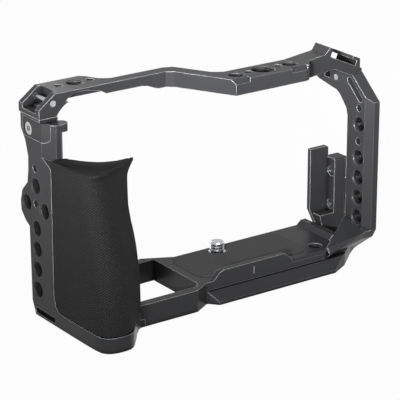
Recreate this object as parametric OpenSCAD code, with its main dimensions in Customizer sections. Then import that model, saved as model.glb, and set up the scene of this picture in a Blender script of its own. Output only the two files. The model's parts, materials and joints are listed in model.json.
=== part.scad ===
// Camera cage: a machined frame that wraps a mirrorless camera, with a soft front grip.
// The origin lies under the camera screw, on the plane that the base rests on.
// +X points to the port side, +Y to the back of the camera and +Z up.

/* [Frame] */
// Height of the whole cage
cage_h = 96; // [94:0.5:104]
// Distance from the camera screw to the outer face of the grip side
left_x = 89.2; // [87:0.2:100]
// Distance from the camera screw to the outer face of the port side
right_x = 66.2; // [65:0.2:74]
// Thickness of the plate on the grip side
left_wall = 5.2; // [4.8:0.1:6.5]
// Thickness of the plate on the port side
right_wall = 5.9; // [5.4:0.1:6.5]

/* [Base] */
// Thickness of the base plate, where the camera sits
base_h = 9.7; // [9:0.1:12]
// Distance from the camera screw forward to the front face
base_front = 28; // [27:0.5:31]
// Distance from the camera screw back to the rear edge
base_back = 4.3; // [4:0.1:8]
// Distance from the camera screw to the port end of the plate
base_end = 52; // [50:0.5:54]
// Width of the dovetail that quick-release clamps hold
dovetail_w = 38; // [37.5:0.1:38.5]
// Height of the block that carries the dovetail
dovetail_h = 5.2; // [5:0.1:5.6]
// Height of the flat edge under the sloped side of the dovetail
dovetail_edge = 1.3; // [1:0.1:1.6]
// Distance from the camera screw to the grip end of the dovetail
dovetail_left = 21.5; // [18:0.5:22]
// Distance from the camera screw to the battery window
window_x = 28.7; // [27.5:0.5:34]
// Width of the rails around the battery window
rail_w = 4; // [3.5:0.1:6]
// Step of the front rail ahead of the front face
rail_step = 4.4; // [3:0.2:6]
// Height of the lip that stops the camera from twisting
lip_h = 3.9; // [2:0.1:5]
// Thickness of that lip
lip_t = 2.6; // [2:0.1:3.5]
// Height of the low wall beside the camera
ridge_h = 2; // [1:0.1:3]
// Thickness of the soft pad under the camera
pad_t = 0.5; // [0.3:0.1:1]
// Diameter of the index hole in the base
index_hole_d = 6; // [4:0.1:6.5]

/* [Top] */
// Thickness of the slim bar over the grip side
bar_t = 4.2; // [3.6:0.1:5]
// Width of the slim bar, front to back
bar_w = 5.6; // [5:0.1:8]
// Width of the wide end of the bar that carries threaded holes
bar_pad_w = 15.8; // [14:0.1:18]
// Length of that wide end
bar_pad_l = 20; // [19:0.5:24]
// Thickness of the block ahead of the viewfinder
hump_t = 6.7; // [6:0.1:7.5]
// Depth of that block, front to back
hump_d = 12.6; // [12:0.1:14]
// Distance from the camera screw forward to the face of that block
hump_front = 29; // [28:0.5:32]
// Distance from the camera screw to the inner end of the slim bar
hump_start = 28; // [26:0.5:32]
// Size of the bright corner bevels on that block
hump_bevel = 2; // [1:0.1:2.5]

/* [Accessory shoe] */
// Width of the channel for shoe feet
shoe_w = 18.7; // [18.6:0.05:19]
// Opening between the two lips
shoe_gap = 12.6; // [12.5:0.05:13]
// Height of the channel under the lips
shoe_clear = 2.3; // [2.1:0.05:2.6]
// Thickness of the lips
shoe_lip = 1.5; // [1.3:0.1:2]
// Tilt of the shoe toward the port side
shoe_tilt = 24.5; // [18:0.5:26]
// Thickness of metal under the shoe floor
shoe_floor_t = 4.4; // [3.6:0.1:5]

/* [Threaded holes] */
// Diameter of the quarter inch threaded holes
quarter_d = 6.35; // [6.35]
// Diameter of the three eighths inch threaded hole
three_eighths_d = 9.525; // [9.525]
// Diameter of the small locating holes beside some threaded holes
locate_d = 3.3; // [3:0.1:4]
// Distance from a threaded hole to its locating holes
locate_pitch = 7.6; // [7.2:0.1:8]
// Distance between the threaded holes that stand in a row
row_pitch = 9.2; // [9:0.1:9.6]
// Depth of the countersink at each end of a threaded hole
sink = 0.45; // [0.2:0.05:0.6]

/* [Grip] */
// Distance from the camera screw forward to the tip of the grip
grip_front = 48.4; // [46:0.2:54]
// Distance from the camera screw to the inner side of the grip
grip_inner = 57; // [56:0.2:60]
// Distance from the camera screw forward to the back of the grip
grip_back = 24.5; // [24:0.2:26]
// Height of the soft grip above its metal foot
grip_h = 65; // [60:0.5:67]
// Height of the metal foot
foot_h = 6.6; // [5.6:0.1:8]
// Thickness of the soft skin
skin_t = 2.4; // [1.6:0.1:2.6]
// Depth of the dish in the top of the grip
dish_depth = 1.8; // [1:0.1:2.5]

/* [Camera screw] */
// Length of thread that stands above the base
screw_reach = 4.2; // [4:0.1:5.5]
// Pitch of the thread
screw_pitch = 1.27; // [1.27]
// Diameter of the screw head
screw_head_d = 11.6; // [10:0.1:13]
// Height of the screw head
screw_head_h = 3.6; // [3:0.1:4]
// Radial clearance of parts that turn or slide
run_gap = 0.06; // [0.04:0.01:0.09]

/* [Strap and lug lock] */
// Diameter of the steel pins
pin_d = 2.4; // [2:0.1:3]
// Thickness of the block that locks the strap lug
lug_t = 3.2; // [2.8:0.1:3.4]
// Height of that block
lug_h = 8; // [7.5:0.1:8.2]
// Diameter of the head of its screw
lug_head_d = 5.6; // [5:0.1:6]
// Travel of that block away from the camera
lug_travel = 1.2; // [0.5:0.1:1.5]

/* [Port bracket] */
// Height of the wall of the bracket above the camera seat
bracket_h = 31.2; // [28:0.2:36]
// Height of the leaf of the bracket above that wall
leaf_rise = 5.2; // [3:0.2:8]
// Width of the leaf of the bracket
leaf_w = 10; // [8:0.2:10.4]
// Thickness of the leaf
leaf_t = 2; // [1.6:0.1:3]

/* [Hidden] */
$fn = 48;

// Overrun of every cut, clearance of seated parts, and the usual edge bevel
over = 0.4;
seat_gap = 0.03;
edge = 1.2;
anodised = "#3d3e40";
dark_anodised = "#303133";
rubber = "#262627";
steel = "#c9cbcd";
// Flat-head screws and small cap screws
screw_d = 3;
flat_head_d = 5.4;
flat_head_h = 1.7;
hex_socket_d = 2.2;
small_screw_d = 2.5;
small_head_d = 4;
small_head_h = 1.2;

// Faces of the frame, named from the outside in
left_in = left_x - left_wall;
right_in = right_x - right_wall;
top_under = cage_h - bar_t;
hump_under = cage_h - hump_t;
rail_front = base_front + rail_step;
rail_in = rail_front - rail_w;
grip_w = left_x - grip_inner;
top_drop = 9.7;
corner_seam = cage_h - top_drop;
arm_drop = 13;
arm_top = cage_h - arm_drop;
arm_back = 13.4;

// Dovetail block: the six-sided profile seen along X, and its slanted grip end
dove_slope = dovetail_h - dovetail_edge;
dove_front = -base_front - dove_slope;
dove_back = dove_front + dovetail_w;
dovetail_end = dovetail_left + dove_slope * 0.82;
groove_h = 0.8;
groove_d = 0.6;

// The port end of the base is cut across the corner
corner_run = 11.5;
corner_turn = 2.5;
corner_cut = 3.1;
corner_back = base_front - corner_cut;
face_back = 15;

// Rails around the battery window
// The front rail ends under the grip, clear of its screws, at this share of the grip's width
rail_share = 0.34162;
rail_end = grip_inner + grip_w * rail_share;
step_run = 9;
rear_bow = 6.5;
rear_rail_back = 3.3;
window_r = 4;

// Laps and screws that join the base to the side plates
lap_h = 3.4;
lap_l = 10;
rail_lap = 8.5;
lap_reach = 15;
lap_x = base_end - lap_reach;
lap_front = 16;
lap_back = 1;
lap_inset = 4;
lap_screw_x = base_end - lap_l;
lap_screw_ys = [-lap_front + lap_inset, -lap_back - lap_inset];
lap_screw_l = base_h - edge;
rail_screw_x = rail_end - rail_lap / 2;
rail_screw_y = rail_front - rail_w / 2;
left_screw_x = left_in - lap_l * 0.7;
left_screw_y = base_back + rear_rail_back - rail_w / 2;
flange_back = 7;

// Lip at the front edge, with sloped ends and a centre mark
lip_off = 1;
lip_half = 16.6;
lip_slope = 4.4;
lip_round = 0.8;
lip_left = -lip_off - lip_half;
lip_right = lip_half - lip_off;
tick_w = 0.4;
tick_l = 3.4;
tick_drop = 1.5;
tick_d = 0.2;

// Low wall beside the camera
ridge_run = 2.4;
ridge_wall = 2.7;
ridge_inset = 9;
ridge_front = base_front - ridge_inset;

// Key in its slot under the base, open to the back
key_x = 19;
key_w = 6;
key_t = 2.8;
key_l = 27;
key_lift = 0.3;
key_tip = 4;
key_neck = 2.6;
magnet_d = 5;
magnet_h = 1.4;
slot_h = key_lift + key_t + 2 * run_gap;
slot_end = key_l - base_back;
magnet_ys = [-key_l * 0.62, -key_l * 0.2];

// Camera screw, with the spring clip that keeps it in the base
head_gap = 0.6;
head_room = screw_head_h + head_gap;
head_lift = head_room - screw_head_h - run_gap;
head_bevel = 0.45;
screw_hole_d = quarter_d + 2 * run_gap;
ring_recess_d = 8.6;
ring_recess_h = 0.8;
clip_t = 0.5;
clip_play = 0.5;
clip_gap = 1.6;
groove_z = base_h - ring_recess_h;
screw_top = base_h + screw_reach;
screw_root_d = quarter_d - screw_pitch;
thread_bottom = base_h + clip_t / 2;
tip_h = 0.5;
thread_turns = floor((screw_top - tip_h - thread_bottom) / screw_pitch - 0.4);
coin_w = 1.6;
coin_d = 1.4;
socket_d = 4.6;
socket_h = 2.4;

// Index hole and soft pad
index_x = 38;
index_y = 20.5;
pad_seat = 0.2;
pad_left = 24.2;
pad_right = 32.5;
pad_front = 23.2;
pad_back = base_back - edge;
pad_r = 6;
pad_inset = 0.5;

// Outline of the port side plate, seen along X, as shares of its depth and of its height
arm_shares = [
    [-1, 0.1627], [-1, 0.871], [-0.555, 1], [0.34, 1], [0.34, 0.9253], [0.255, 0.909],
    [-0.2, 0.8825], [-0.285, 0.8646], [-0.446, 0.8038], [-0.4786, 0.7634], [-0.4786, 0],
    [-0.586, 0.029], [-0.918, 0.1145]
];
arm_bevel = 2.9;
foot_drop = 4;
foot_top = base_h - foot_drop;
// Ends of the web that joins that plate to the base, as shares of depth and height
web_rise = 7.4;
web_reach = 12;
web_start = base_end - web_reach;
web_top = base_h + web_rise;
web_arm_shares = [[0.4786, 1], [1, 0.79], [0.918, 0.556], [0.586, 0.14], [0.4786, 0.0585]];
web_base_shares = [[0.921, 1], [0.957, 1], [1, 0.845], [1, 0.72], [0.921, 0.546]];
// Holes, strap slot and notch of that plate
arm_hole_y = 21.2;
arm_hole_rise = 8.8;
arm_hole_z = base_h + arm_hole_rise;
arm_top_hole_z = arm_top * 0.7373;
strap_slot_l = 13;
strap_slot_w = 3;
strap_slot_drop = 6.7;
strap_slot_tilt = 42;
notch_y = -1;
notch_l = 4;
notch_h = 5.4;
notch_d = 2;
// Tenon of the top bar, pinned in the port side plate
pin_y = 4.9;
pin_drop = 4.2;
pin_z = arm_top - pin_drop;
tenon_t = 3.2;
tenon_l = 7;
tenon_h = 6.4;

// Port bracket with two clamp screws and two slits
bracket_front = 5.4;
bracket_d = 4.7;
bracket_out = 1.6;
bracket_right = right_x + bracket_out;
bracket_top = base_h + bracket_h;
bracket_bevel = 0.6;
leaf_left = right_in - leaf_w;
ledge_z = base_h + leaf_w * 0.6;
bracket_screw_x = right_x - right_wall / 2;
bracket_screw_y = -bracket_front + bracket_d * 0.75;
bracket_bite = 5;
bracket_screw_l = foot_top + bracket_bite;
clamp_head_d = 4.3;
clamp_shank_d = 2;
clamp_depth = 1.4;
clamp_sink = 0.15;
clamp_slot = 0.7;
clamp_y = -bracket_front + bracket_d * 0.52;
clamp_zs = [base_h + bracket_h * 0.3, base_h + bracket_h * 0.8];
slit_w = 0.7;
slit_d = 1;
slit_l = 9.3;
slit_zs = [base_h + bracket_h * 0.155, base_h + bracket_h * 0.68];

// Top bar: shoe on the tilted wing
shoe_drop = 5.7;
wing_z = cage_h - shoe_drop;
shoe_x = 53.2;
shoe_wall = 2;
shoe_bevel = 0.5;
// The port side wall stands upright on the tilted floor
shoe_flank = (shoe_clear + shoe_lip - shoe_bevel + shoe_floor_t) * tan(shoe_tilt);
// Both lips end on one line, behind the slanted front edge of the wing
lip_front = 17.4;
wing_step = 1.1;
wing_edge = 1.5;
// Block ahead of the viewfinder
hump_edge = 3;
hump_r = 3;
hump_right = 28;
hump_line = 0.35;
hump_hole_x = 7.2;
hump_hole_y = 22;
hump_hole_pitch = 13.8;
// Slim bar, its corner over the grip side, and the underside of both
bar_front = 2;
bar_back = bar_pad_w - bar_front;
corner_run_x = 7.7;
corner_run_z = 5.8;
bar_x = left_x - corner_run_x;
inner_run = 7;
inner_in = 0.5;
inner_h = top_under - corner_seam - seat_gap;
inner_corner_shares = [[1, 0], [0.57, 0.2], [0.19, 0.64], [0, 1]];
bar_hole_x = 66.9;
bar_hole_y = 6.9;
scoop_l = 19.5;
scoop_h = 3;
scoop_d = 3.6;
scoop_shares = [[0, 0], [0.08, 0.5], [0.23, 0.97], [0.47, 1], [0.84, 0.57], [1, 0]];
// Strap window with its pin
cheek_t = 2.8;
window_floor = 2;
window_l = 9.7;
strap_pin_x = bar_x + edge * 0.9;
strap_pin_z = cage_h - bar_t * 0.95;
// Screws and pad that join the bar to the plate on the grip side
top_left_x = left_in - edge * 0.75;
top_left_ys = [3, 8.7];
top_left_l = 6;
joint_pad_t = 3.5;
joint_pad_h = 9;

// Outline of the plate on the grip side, as shares of the base's depth and the seam's height
left_shares = [
    [-0.357, 0], [0.168, 0], [0.257, 0.0667], [0.279, 0.4427], [0.382, 0.4623], [0.5, 0.5028],
    [0.512, 0.5529], [0.46, 0.6107], [0.307, 0.6619], [0.275, 0.7242], [0.264, 0.7937],
    [0.336, 0.8699], [0.45, 0.9233], [0.45, 1], [-0.0714, 1], [-0.0714, 0.831], [-0.357, 0.7842]
];
left_pitch = row_pitch * 0.97;
left_hole_y = 2.4;
left_hole_rise = 2.1;
left_low_z = base_h + left_hole_rise;
left_top_hole_z = corner_seam * 0.6616;
left_pair_z = corner_seam * 0.5574;
left_pair_ys = [-4.3, 9.6];
strap_low_y = 3.05;
strap_low_w = 2.6;
strap_low_l = 15.5;
strap_low_z = 2.2;
// Boss, hook and lug block, hung from the seam under the top bar
boss_gap = 1.6;
boss_h = 16;
boss_top = corner_seam - boss_gap;
boss_start = 1.3;
boss_slope = 4.3;
boss_reach = 5.7;
boss_w = 8.2;
boss_cut = 1.6;
hook_h = 3.3;
lug_drop = 7.5;
lug_z = boss_top - lug_drop;
lug_back = 11;
lug_share = 0.6;
lug_front = bar_front + boss_start + (boss_reach - boss_start) * lug_share;
lug_bevel = 0.6;
lug_r = 2;
lug_seam = 0.05;
lug_screw_y = 6.9;
lug_screw_rise = 3.4;
lug_screw_z = lug_z + lug_screw_rise;
lug_head_h = 1.8;
lug_sink = 0.2;
lug_bore_d = small_screw_d + 2 * run_gap;
lug_shank_l = left_wall + lug_travel - 2 * lug_sink;

// Foot of the grip, as shares of its width and of its reach ahead of the side plate
strip_front = 10;
foot_shares = [
    [0, 0], [0, 0.585], [0.0093, 0.871], [0.056, 0.945], [0.14, 0.987], [0.286, 1], [0.422, 0.983],
    [0.55, 0.87], [0.77, 0.636], [0.9, 0.56], [0.93, 0.47], [0.96, 0.46], [1, 0.37], [1, 0.36],
    [0.22, 0]
];
// Corner between that foot and the side plate
gusset_t = 4.6;
gusset_l = 5;
gusset_h = 7;
// Front line of the rubber at the foot and at the rim, as shares of its width and depth
low_shares = [
    [0, 0], [0, 0.2], [0, 0.45], [0.01, 0.76], [0.05, 0.89], [0.13, 0.965], [0.25, 1], [0.4, 0.975],
    [0.55, 0.82], [0.7, 0.61], [0.82, 0.43], [0.906, 0.29], [0.97, 0.15], [1, 0]
];
rim_shares = [
    [0, 0], [0, 0.2], [0.012, 0.42], [0.04, 0.63], [0.085, 0.84], [0.15, 0.97], [0.22, 1],
    [0.33, 0.94], [0.46, 0.77], [0.61, 0.56], [0.75, 0.37], [0.87, 0.22], [0.965, 0.1], [1, 0]
];
// How far the inner side and the front stand back over the height, as shares
inner_shares = [
    [0, 0.03], [0.1, 0.022], [0.2, 0.021], [0.3, 0.034], [0.4, 0.05], [0.5, 0.081], [0.6, 0.126],
    [0.7, 0.157], [0.85, 0.16], [0.9, 0.156], [0.93, 0.127], [0.96, 0.09], [0.98, 0.062],
    [0.99, 0.058], [1, 0.072]
];
front_shares = [
    [0, 1], [0.15, 0.96], [0.3, 0.9], [0.45, 0.82], [0.6, 0.72], [0.75, 0.59], [0.85, 0.49], [0.91, 0.43],
    [0.935, 0.41], [0.955, 0.415], [0.97, 0.445], [0.985, 0.475], [0.995, 0.47], [1, 0.45]
];
// Back of the rubber, round the end of the camera to the side plate
strip_reach = 22;
strip_shares = [[1, 0], [0.8, 0.08], [0.63, 0.24], [0.46, 0.545], [0.345, 0.86], [0.31, 1], [0, 1]];
// Dish in the top: size of each ring and its depth, as shares
dish_shares = [[0.99, -0.3], [0.93, 0], [0.84, 0.45], [0.68, 0.8], [0.4, 1]];
grip_steps = 22;
core_steps = 14;
grip_top = foot_h + grip_h;
grip_d = grip_front - grip_back;
grip_centre = [-left_x + grip_w * 0.32, -grip_back - grip_d * 0.2];
core_centre = [-left_x + grip_w * 0.4, -grip_back - grip_d * 0.2];
core_top = grip_top - dish_depth - skin_t;
foot_screw_shares = [[0.27, 0.62], [0.5, 0.22]];
foot_screw_l = 2 * foot_h;

// Places along extrusions
module along_x(x, length) {
    translate([x, 0, 0]) rotate([90, 0, 90]) linear_extrude(length) children();
}

module along_y(y, length) {
    translate([0, y + length, 0]) rotate([90, 0, 0]) linear_extrude(length) children();
}

module along_z(z, length) {
    translate([0, 0, z]) linear_extrude(length) children();
}

// A hole along X, from x toward the port side
module bore_x(d, x, y, z, length) {
    translate([x, y, z]) rotate([0, 90, 0]) cylinder(d = d, h = length);
}

// A hole along Y, from y backward
module bore_y(d, x, y, z, length) {
    translate([x, y, z]) rotate([-90, 0, 0]) cylinder(d = d, h = length);
}

// A hole along Z, from z upward
module bore_z(d, x, y, z, length) {
    translate([x, y, z]) cylinder(d = d, h = length);
}

// A threaded hole through a wall that starts at zero, countersunk at both ends
module threaded(d, wall) {
    translate([0, 0, -over]) cylinder(d = d, h = wall + 2 * over);
    translate([0, 0, -over]) cylinder(d1 = d + 2 * (sink + over), d2 = d, h = sink + over);
    translate([0, 0, wall - sink]) cylinder(d1 = d, d2 = d + 2 * (sink + over), h = sink + over);
}

module threaded_x(d, x, y, z, wall) {
    translate([x, y, z]) rotate([0, 90, 0]) threaded(d, wall);
}

module threaded_z(d, x, y, z, wall) {
    translate([x, y, z]) threaded(d, wall);
}

// A slot through a plate that lies across X: two round ends and the space between them
module slot_x(width, length, x, depth) {
    translate([x, -(length - width) / 2, -width / 2]) cube([depth, length - width, width]);
    for (side = [-1, 1]) bore_x(width, x, side * (length - width) / 2, 0, depth);
}

// A flat-head screw that points up from its head at z
module flat_screw(x, y, z, length) {
    translate([x, y, z]) difference() {
        union() {
            cylinder(d1 = flat_head_d, d2 = screw_d, h = flat_head_h);
            cylinder(d = screw_d, h = length);
        }
        translate([0, 0, -over]) cylinder(d = hex_socket_d, h = flat_head_h, $fn = 6);
    }
}

// The room that such a screw needs
module flat_screw_hole(x, y, z, length) {
    translate([x, y, z]) {
        cylinder(d = screw_d + 2 * seat_gap, h = length + seat_gap);
        cylinder(d1 = flat_head_d + 2 * seat_gap, d2 = screw_d + 2 * seat_gap, h = flat_head_h);
    }
}

// Linear blend between two outlines of the same length
function blend(a, b, t) = [for (i = [0 : len(a) - 1]) a[i] * (1 - t) + b[i] * t];

// The same line with its corners cut, so that it turns in smaller steps
function soften(line) = concat(
    [line[0]],
    [for (i = [0 : len(line) - 2]) each [
        line[i] * 0.75 + line[i + 1] * 0.25,
        line[i] * 0.25 + line[i + 1] * 0.75
    ]],
    [line[len(line) - 1]]
);

function at_height(line, z) = [for (p = line) [p[0], p[1], z]];

// A closed skin over level loops of points, with fans round the middle as its ends
module loft(loops, middle) {
    count = len(loops[0]);
    last = len(loops) - 1;
    low = count * len(loops);
    polyhedron(
        points = concat(
            [for (loop = loops) each loop],
            at_height([middle], loops[0][0][2]),
            at_height([middle], loops[last][0][2])
        ),
        faces = concat(
            [for (i = [0 : count - 1]) [i, (i + 1) % count, low]],
            [for (k = [0 : last - 1]) for (i = [0 : count - 1]) each [
                [k * count + i, (k + 1) * count + i, (k + 1) * count + (i + 1) % count],
                [k * count + i, (k + 1) * count + (i + 1) % count, k * count + (i + 1) % count]
            ]],
            [for (i = [0 : count - 1]) [last * count + (i + 1) % count, last * count + i, low + 1]]
        )
    );
}

// The six-sided profile of the dovetail, seen along X
module dovetail_profile() {
    polygon([
        [dove_front, 0],
        [dove_back, 0],
        [dove_back, dovetail_edge],
        [dove_back - dove_slope, dovetail_h],
        [-base_front, dovetail_h],
        [dove_front, dovetail_edge]
    ]);
}

// Plan of the dovetail: slanted at the grip end, cut across the corner at the port end
module dovetail_plan() {
    polygon([
        [-dovetail_left, dove_front],
        [base_end - corner_run, dove_front],
        [base_end - corner_turn, -corner_back - corner_turn * 0.88],
        [base_end, -corner_back],
        [base_end, rail_front],
        [-dovetail_end, rail_front],
        [-dovetail_end, -base_front]
    ]);
}

// Port end of the base's plan, from the front face round to the rear edge
function port_end(gap) = [
    [base_end - face_back, -base_front - gap],
    [base_end - corner_run + step_run / 2, -corner_back - gap],
    [base_end + gap, -corner_back - gap],
    [base_end + gap, base_back + gap]
];

module base_plan() {
    polygon(concat(
        [
            [-rail_end, -rail_front],
            [-window_x - step_run / 2, -rail_front],
            [-window_x + step_run / 3, -base_front]
        ],
        port_end(0),
        [
            [-window_x + step_run, base_back],
            [-window_x - rail_w, base_back + rear_bow],
            [-left_in, base_back + rear_rail_back],
            [-left_in, base_back + rear_rail_back - rail_w],
            [-rail_end, -rail_in]
        ]
    ));
}

// Battery window, open toward the grip side, with one round corner
module window_plan() {
    difference() {
        polygon([
            [-left_x - over, -rail_in],
            [-window_x, -rail_in],
            [-window_x, base_back + rear_bow - rail_w],
            [-window_x - rail_w, base_back + rear_bow - rail_w],
            [-left_in, base_back + rear_rail_back - rail_w],
            [-left_x - over, base_back + rear_rail_back - rail_w]
        ]);
        translate([-window_x - window_r, -rail_in - over]) square(window_r + over);
    }
    translate([-window_x - window_r, -rail_in + window_r]) circle(window_r);
}

// Lip seen from the front
module lip_face() {
    polygon([
        [lip_left - lip_slope, base_h - over],
        [lip_right + lip_slope, base_h - over],
        [lip_right + lip_slope, base_h],
        [lip_right, base_h + lip_h],
        [lip_left + lip_round, base_h + lip_h],
        [lip_left - lip_slope * lip_round / lip_h, base_h + lip_h - lip_round],
        [lip_left - lip_slope, base_h]
    ]);
}

// Low wall at the port end, seen from the front
module ridge_face() {
    polygon([
        [base_end - ridge_wall - ridge_run, base_h - over],
        [base_end, base_h - over],
        [base_end, base_h + ridge_h],
        [base_end - ridge_wall, base_h + ridge_h],
        [base_end - ridge_wall - ridge_run, base_h]
    ]);
}

module base_plate() {
    color(anodised) difference() {
        union() {
            difference() {
                along_z(0, base_h) base_plan();
                // Space beside the dovetail, where a clamp closes
                translate([-dovetail_end, -rail_front, -over])
                    cube([base_end + dovetail_end + over, 2 * rail_front, dovetail_h + over]);
            }
            intersection() {
                along_x(-dovetail_end, base_end + dovetail_end) dovetail_profile();
                along_z(0, dovetail_h) dovetail_plan();
            }
            along_y(-base_front, lip_t) lip_face();
            along_y(-ridge_front, ridge_front + base_back) ridge_face();
        }
        along_z(-over, base_h + 2 * over) window_plan();
        // Groove between the front face and the dovetail
        along_x(-dovetail_end, base_end + dovetail_end) polygon([
            [-base_front - over, dovetail_h],
            [-base_front + groove_d, dovetail_h],
            [-base_front + groove_d, dovetail_h + groove_h],
            [-base_front - over, dovetail_h + groove_h]
        ]);
        // Bevel along the front edge beside the lip, and the centre mark
        along_x(lip_right + lip_slope, base_end) polygon([
            [-base_front - over, base_h - edge - over],
            [-base_front + edge + over, base_h + over],
            [-base_front - over, base_h + over]
        ]);
        translate([-lip_off - tick_w / 2, -base_front - over, base_h - tick_drop])
            cube([tick_w, tick_d + over, tick_l]);
        camera_screw_room();
        bore_z(index_hole_d, index_x, -index_y, -over, base_h + 2 * over);
        along_z(base_h - pad_seat, over + pad_seat) pad_plan(seat_gap);
        key_room();
        // Laps for the port arm, the grip side plate and its foot
        translate([lap_x - seat_gap, -lap_front - seat_gap, -over])
            cube([base_end, lap_front - lap_back + 2 * seat_gap, lap_h + over + seat_gap]);
        translate([-left_in - over, 0, -over])
            cube([lap_l + over, rail_front, lap_h + over + seat_gap]);
        translate([-rail_end - over, -rail_front - over, -over])
            cube([rail_lap + over, rail_w + 2 * over, lap_h + over + seat_gap]);
        for (y = lap_screw_ys) flat_screw_hole(lap_screw_x, y, 0, lap_screw_l);
        flat_screw_hole(-rail_screw_x, -rail_screw_y, 0, lap_screw_l);
        flat_screw_hole(-left_screw_x, left_screw_y, 0, lap_screw_l);
    }
}

// Clearance hole, head recess and clip recess for the camera screw
module camera_screw_room() {
    bore_z(screw_hole_d, 0, 0, -over, base_h + 2 * over);
    bore_z(screw_head_d + 2 * head_gap, 0, 0, -over, head_room + over);
    bore_z(ring_recess_d, 0, 0, base_h - ring_recess_h, ring_recess_h + over);
}

// Slot for the key, with pockets for the magnets over it
module key_room() {
    translate([key_x - key_w / 2 - run_gap, -slot_end - run_gap, -over])
        cube([key_w + 2 * run_gap, slot_end + dove_back + 2 * over, slot_h + over]);
    for (y = magnet_ys) bore_z(magnet_d + 2 * seat_gap, key_x, y, slot_h - over, magnet_h + over + seat_gap);
}

module pad_plan(gap) {
    difference() {
        union() {
            translate([-pad_left - gap, -pad_front + pad_r])
                square([pad_left + pad_right + 2 * gap, pad_front + pad_back - 2 * pad_r]);
            translate([-pad_left + pad_r, -pad_front - gap])
                square([pad_left + pad_right - 2 * pad_r, pad_front + pad_back + 2 * gap]);
            for (x = [-pad_left + pad_r, pad_right - pad_r])
                for (y = [-pad_front + pad_r, pad_back - pad_r])
                    translate([x, y]) circle(pad_r + gap);
        }
        circle(d = ring_recess_d + 2 * (pad_inset - gap));
    }
}

module base_pad() {
    color(rubber) along_z(base_h - pad_seat, pad_t) pad_plan(0);
}

// Head, neck, clip groove and a stack of thread ridges, turned round Z
module camera_screw() {
    color(steel) difference() {
        rotate_extrude() polygon(concat(
            [
                [0, head_lift],
                [screw_head_d / 2 - head_bevel, head_lift],
                [screw_head_d / 2, head_lift + head_bevel],
                [screw_head_d / 2, head_lift + screw_head_h],
                [quarter_d / 2, head_lift + screw_head_h],
                [quarter_d / 2, groove_z + run_gap],
                [screw_root_d / 2, groove_z + run_gap],
                [screw_root_d / 2, groove_z + run_gap + clip_t]
            ],
            [for (i = [0 : thread_turns - 1]) each [
                [quarter_d / 2, thread_bottom + (i + 0.5) * screw_pitch - screw_pitch / 8],
                [quarter_d / 2, thread_bottom + (i + 0.5) * screw_pitch + screw_pitch / 8],
                [screw_root_d / 2, thread_bottom + (i + 1) * screw_pitch]
            ]],
            [
                [quarter_d / 2, thread_bottom + (thread_turns + 0.5) * screw_pitch - screw_pitch / 8],
                [quarter_d / 2, screw_top - tip_h],
                [quarter_d / 2 - tip_h, screw_top],
                [0, screw_top]
            ]
        ));
        // Coin slot and hexagon socket in the head
        translate([-screw_head_d / 2 - over, -coin_w / 2, head_lift - over])
            cube([screw_head_d + 2 * over, coin_w, coin_d + over]);
        translate([0, 0, head_lift - over]) cylinder(d = socket_d, h = socket_h + over, $fn = 6);
    }
}

module screw_clip() {
    color(steel) translate([0, 0, groove_z + run_gap]) difference() {
        cylinder(d = ring_recess_d - 2 * clip_play, h = clip_t);
        translate([0, 0, -over]) cylinder(d = screw_root_d + 2 * seat_gap, h = clip_t + 2 * over);
        translate([0, -clip_gap / 2, -over]) cube([ring_recess_d, clip_gap, clip_t + 2 * over]);
    }
}

module slot_key() {
    color(steel) along_z(key_lift, key_t) polygon([
        [key_x - key_neck / 2, -slot_end],
        [key_x + key_neck / 2, -slot_end],
        [key_x + key_neck / 2, -slot_end + key_tip],
        [key_x + key_w / 2, -slot_end + 2 * key_tip],
        [key_x + key_w / 2, -slot_end + key_l],
        [key_x - key_w / 2, -slot_end + key_l],
        [key_x - key_w / 2, -slot_end + 2 * key_tip],
        [key_x - key_neck / 2, -slot_end + key_tip]
    ]);
}

module magnets() {
    color(steel) for (y = magnet_ys) bore_z(magnet_d, key_x, y, slot_h, magnet_h);
}

// Web from the front edge of the port side plate to the corner of the base
module web() {
    hull() {
        along_x(right_in, over) polygon([for (s = web_arm_shares) [-s[0] * base_front, s[1] * web_top]]);
        along_x(web_start, seat_gap) polygon([for (s = web_base_shares) [-s[0] * base_front, s[1] * base_h]]);
    }
}

// Space that the port end of the base takes, with clearance
module base_end_room() {
    along_z(-over, base_h + over + seat_gap) polygon(concat(
        [[0, -base_front - seat_gap]],
        port_end(seat_gap),
        [[0, base_back + seat_gap]]
    ));
    along_z(base_h, ridge_h + seat_gap) polygon([
        [base_end - ridge_wall - ridge_run, -ridge_front - seat_gap],
        [base_end + seat_gap, -ridge_front - seat_gap],
        [base_end + seat_gap, base_back + seat_gap],
        [base_end - ridge_wall - ridge_run, base_back + seat_gap]
    ]);
}

// Foot of the port side plate, seen from above
module arm_foot_plan() {
    polygon([
        [base_end + seat_gap, -corner_back],
        [right_in, -base_front * 0.63],
        [right_x, -arm_back],
        [right_x, base_back - groove_d],
        [base_end + seat_gap, base_back - groove_d]
    ]);
}

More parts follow.
